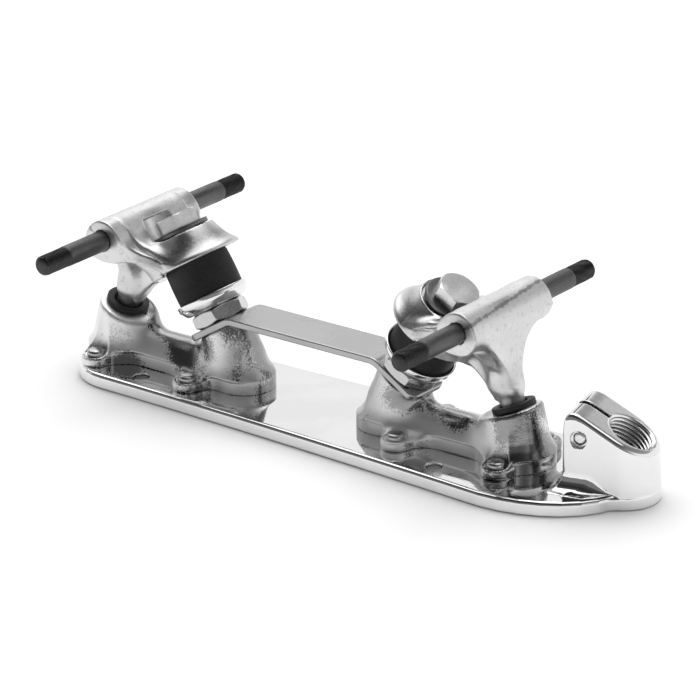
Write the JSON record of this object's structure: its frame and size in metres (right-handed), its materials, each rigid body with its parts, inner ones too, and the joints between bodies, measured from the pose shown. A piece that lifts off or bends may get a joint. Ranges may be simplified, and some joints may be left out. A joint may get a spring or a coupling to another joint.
{
  "type": "roller skate plate",
  "caption": "Metal roller skate plate with riveted truck bases, cushioned rocking trucks on slanted kingpins, a jump bar and an angled toe-stop block.",
  "frame": {"origin": "middle of the part's bounding box, on the sole face that it rests on", "axes": "+X towards the toe, +Y to the side that the toe block turns to, +Z away from the boot's sole"},
  "size_m": [0.225, 0.1036, 0.0623],
  "materials": {
    "polished_plate": "mirror-polished",
    "base_casting": "tumbled casting, part polished",
    "hanger_casting": "satin casting",
    "black_steel": "black oxide",
    "zinc_steel": "zinc plated",
    "nut_steel": "zinc plated",
    "washer_steel": "dull steel",
    "rivet_steel": "set steel rivet",
    "chrome_cup": "bright plated",
    "strap_steel": "satin plated",
    "cushion_rubber": "matte",
    "cup_rubber": "matte"
  },
  "bodies": {
    "plate": {"sole_plate": "polished_plate", "jump_bar": "strap_steel", "front_base": "base_casting", "front_base_rivets": "rivet_steel", "front_pivot_cup": "cup_rubber", "front_cushion": "cushion_rubber", "front_cup_washer": "chrome_cup", "rear_base": "base_casting", "rear_base_rivets": "rivet_steel", "rear_pivot_cup": "cup_rubber", "rear_cushion": "cushion_rubber", "rear_cup_washer": "chrome_cup"},
    "front_truck": {"front_hanger": "hanger_casting", "front_axle": "black_steel"},
    "rear_truck": {"rear_hanger": "hanger_casting", "rear_axle": "black_steel"},
    "front_washer": {"front_kingpin_washer": "washer_steel"},
    "rear_washer": {"rear_kingpin_washer": "washer_steel"},
    "front_kingpin": {"front_kingpin": "zinc_steel"},
    "rear_kingpin": {"rear_kingpin": "zinc_steel"},
    "front_nut": {"front_jam_nut": "nut_steel"},
    "rear_nut": {"rear_jam_nut": "nut_steel"},
    "clamp_screw": {"toe_clamp_screw": "zinc_steel"}
  },
  "joints": [
    {"name": "front_steer", "type": "hinge", "parent": "plate", "child": "front_truck", "pos_m": [0.06309, 0, 0.01973], "axis": [-0.6095, 0, 0.7928], "range_deg": [-8, 8], "stiffness_Nm_per_rad": 8, "deforming": ["front_cushion"]},
    {"name": "front_kingpin_lift", "type": "slide", "parent": "plate", "child": "front_washer", "axis": [0.5299, 0, 0.848], "range_m": [0, 0.00212]},
    {"name": "front_kingpin_turn", "type": "hinge", "parent": "front_washer", "child": "front_kingpin", "pos_m": [0.0188, 0, 0.024], "axis": [0.5299, 0, 0.848], "range_deg": [0, 720]},
    {"name": "front_nut_turn", "type": "hinge", "parent": "plate", "child": "front_nut", "pos_m": [0.0188, 0, 0.024], "axis": [0.5299, 0, 0.848], "range_deg": [0, 90]},
    {"name": "rear_steer", "type": "hinge", "parent": "plate", "child": "rear_truck", "pos_m": [-0.09979, 0, 0.01973], "axis": [0.6095, 0, 0.7928], "range_deg": [-8, 8], "stiffness_Nm_per_rad": 8, "deforming": ["rear_cushion"]},
    {"name": "rear_kingpin_lift", "type": "slide", "parent": "plate", "child": "rear_washer", "axis": [-0.5299, 0, 0.848], "range_m": [0, 0.00212]},
    {"name": "rear_kingpin_turn", "type": "hinge", "parent": "rear_washer", "child": "rear_kingpin", "pos_m": [-0.0555, 0, 0.024], "axis": [-0.5299, 0, 0.848], "range_deg": [0, 720]},
    {"name": "rear_nut_turn", "type": "hinge", "parent": "plate", "child": "rear_nut", "pos_m": [-0.0555, 0, 0.024], "axis": [-0.5299, 0, 0.848], "range_deg": [0, 90]},
    {"name": "clamp_screw_turn", "type": "hinge", "parent": "plate", "child": "clamp_screw", "pos_m": [0.08951, 0.00266, 0.0219], "axis": [-0.2588, 0.9659, 0], "range_deg": [0, 90]}
  ],
  "couplings": [
    {"joint": "front_kingpin_turn", "follows": "front_kingpin_lift", "rad_per_m": 5937.1},
    {"joint": "rear_kingpin_turn", "follows": "rear_kingpin_lift", "rad_per_m": 5937.1}
  ]
}
